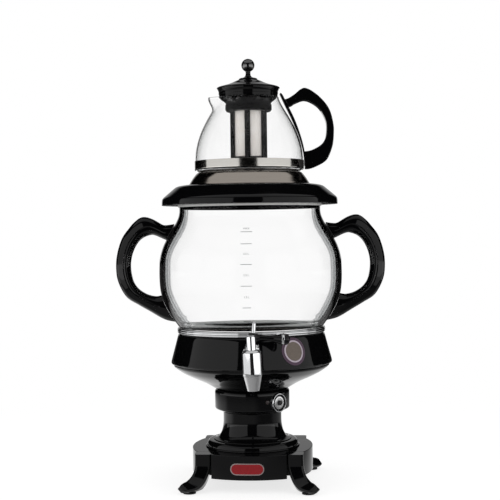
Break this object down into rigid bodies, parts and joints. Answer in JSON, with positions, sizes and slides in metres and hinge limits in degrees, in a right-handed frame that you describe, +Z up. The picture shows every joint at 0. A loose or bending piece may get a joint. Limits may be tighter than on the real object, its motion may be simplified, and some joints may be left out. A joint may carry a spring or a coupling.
{
  "type": "samovar",
  "caption": "Electric samovar with a bellied glass tank on a waisted footed pedestal, a lever tap, side handles and a glass teapot with an infuser on its lid.",
  "frame": {"origin": "on the floor, under the centre of the whole outline seen from above", "axes": "+Z up, -Y towards the tap and the user, +X towards the handle of the teapot"},
  "size_m": [0.3408, 0.2588, 0.5351],
  "materials": {
    "black_plastic": "polished injection-moulded plastic",
    "clear_glass": "blown borosilicate glass, polished",
    "chrome": "bright chrome plate on brass",
    "stainless_steel": "satin stainless sheet",
    "plated_steel": "zinc plate",
    "brass": "machined brass",
    "rubber": "matt moulded rubber",
    "silicone": "translucent silicone",
    "red_plastic": "glossy red plastic"
  },
  "bodies": {
    "root": {"base_plinth": "black_plastic", "base_cover": "black_plastic", "cord_gland": "rubber", "leg_front_left": "black_plastic", "leg_front_right": "black_plastic", "leg_back_right": "black_plastic", "leg_back_left": "black_plastic", "foot_pad_front_left": "rubber", "foot_pad_front_right": "rubber", "foot_pad_back_right": "rubber", "foot_pad_back_left": "rubber", "step_moulding": "black_plastic", "neck_column": "black_plastic", "control_housing": "black_plastic", "tie_rod": "plated_steel", "tie_nut": "plated_steel", "thermostat_bezel": "chrome", "thermostat_body": "plated_steel", "pilot_lamp": "red_plastic", "body_cone": "black_plastic", "body_band": "black_plastic", "tank_pan": "stainless_steel", "heating_element": "plated_steel", "boil_dry_sensor": "plated_steel", "trim_ring": "chrome", "tank_seal": "silicone", "tank_glass": "clear_glass", "handle_left": "black_plastic", "handle_right": "black_plastic", "tap_barrel": "chrome", "tap_washer": "silicone", "tap_nut": "brass", "spout_column": "chrome", "spout_sleeve": "chrome", "spout_nozzle": "chrome"},
    "tap_lever": {"tap_plug": "chrome", "tap_lever": "black_plastic", "lever_ring": "chrome", "lever_cap": "black_plastic"},
    "thermostat_dial": {"thermostat_dial": "black_plastic", "dial_insert": "stainless_steel", "dial_shaft": "black_plastic"},
    "samovar_lid": {"lid_brim": "black_plastic", "lid_collar": "stainless_steel", "lid_seal": "silicone"},
    "teapot": {"teapot_glass": "clear_glass", "teapot_band": "stainless_steel", "teapot_handle": "black_plastic", "band_screw": "plated_steel"},
    "infuser": {"infuser_collar": "black_plastic", "infuser_frame": "black_plastic", "infuser_mesh": "stainless_steel"},
    "teapot_lid": {"teapot_lid": "black_plastic", "lid_knob": "black_plastic"}
  },
  "joints": [
    {"name": "tap_turn", "type": "hinge", "parent": "root", "child": "tap_lever", "pos_m": [0, -0.0961, 0.172], "axis": [0.0837, 0, 0.9965], "range_deg": [-60, 0]},
    {"name": "dial_turn", "type": "hinge", "parent": "root", "child": "thermostat_dial", "pos_m": [0.03373, -0.02164, 0.10406], "axis": [0.6884, -0.7254, 0], "range_deg": [-270, 0]},
    {"name": "samovar_lid_lift", "type": "slide", "parent": "root", "child": "samovar_lid", "axis": [0, 0, 1], "range_m": [0, 0.12]},
    {"name": "teapot_lift", "type": "slide", "parent": "samovar_lid", "child": "teapot", "axis": [0, 0, 1], "range_m": [0, 0.15]},
    {"name": "infuser_lift", "type": "slide", "parent": "teapot", "child": "infuser", "axis": [0, 0, 1], "range_m": [0, 0.1]},
    {"name": "teapot_lid_lift", "type": "slide", "parent": "infuser", "child": "teapot_lid", "axis": [0, 0, 1], "range_m": [0, 0.05]}
  ]
}
